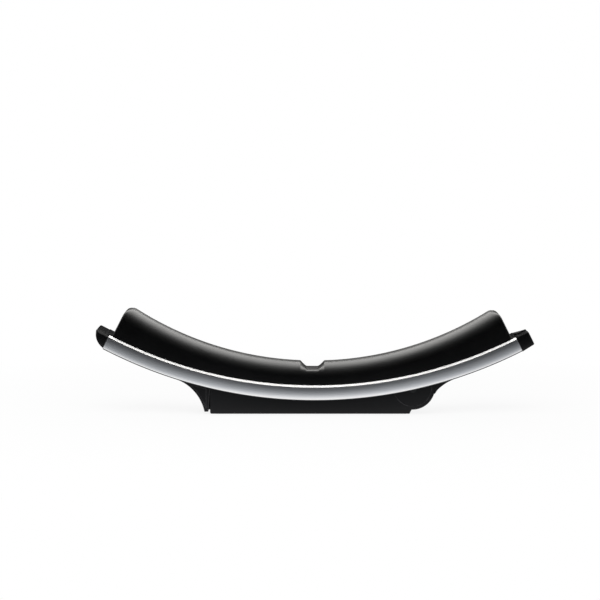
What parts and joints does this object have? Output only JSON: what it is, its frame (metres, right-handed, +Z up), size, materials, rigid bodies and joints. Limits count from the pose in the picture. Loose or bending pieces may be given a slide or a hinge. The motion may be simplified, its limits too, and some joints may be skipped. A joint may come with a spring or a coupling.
{
  "type": "kayak carrier",
  "caption": "Curved padded saddle for carrying a kayak on a roof bar: a bent aluminium channel with black end caps, hinged to a low bolt-down base so one end lifts on a notched prop.",
  "frame": {"origin": "midway between the two bolt slots, on the rubber face that lies on the roof bar", "axes": "+X along the roof bar towards the hinge end, +Y across the saddle away from the viewer of the picture, +Z up away from the bar; the saddle is stored lowered"},
  "size_m": [0.799, 0.08, 0.1898],
  "materials": {
    "anodised_aluminium": "satin anodised, drawn lengthwise",
    "pad_rubber": "satin moulded skin",
    "black_nylon": "fine moulded grain",
    "zinc_steel": "zinc plated",
    "cast_aluminium": "as cast",
    "bush_nylon": "natural nylon",
    "sole_rubber": "matt"
  },
  "bodies": {
    "base": {"base_housing": "black_nylon", "rubber_sole": "sole_rubber", "floor_plate": "zinc_steel", "prop_rack": "cast_aluminium", "rack_screws": "zinc_steel", "rest_buffer": "sole_rubber", "hinge_pin": "zinc_steel", "pin_retainer": "zinc_steel"},
    "saddle": {"saddle_channel": "anodised_aluminium", "hull_pad": "pad_rubber", "nose_cap": "black_nylon", "strap_cap": "black_nylon", "end_cap_screws": "zinc_steel", "pad_screws": "zinc_steel", "support_leg": "black_nylon", "leg_screws": "zinc_steel", "hinge_guard": "black_nylon", "guard_screws": "zinc_steel", "hinge_bracket": "cast_aluminium", "bracket_screws": "zinc_steel", "front_hinge_bush": "bush_nylon", "rear_hinge_bush": "bush_nylon", "prop_bracket": "zinc_steel", "prop_rivets": "zinc_steel", "prop_pin": "zinc_steel"},
    "prop": {"prop_arm": "cast_aluminium", "prop_foot_rod": "zinc_steel"}
  },
  "joints": [
    {"name": "saddle_tilt", "type": "hinge", "parent": "base", "child": "saddle", "pos_m": [0.18, 0, 0.0475], "axis": [0, 1, 0], "range_deg": [0, 31]},
    {"name": "prop_swing", "type": "hinge", "parent": "saddle", "child": "prop", "pos_m": [0.03, 0, 0.03705], "axis": [0, -1, 0], "range_deg": [0, 72]}
  ],
  "couplings": [
    {"joint": "prop_swing", "follows": "saddle_tilt", "ratio": 2.3}
  ]
}
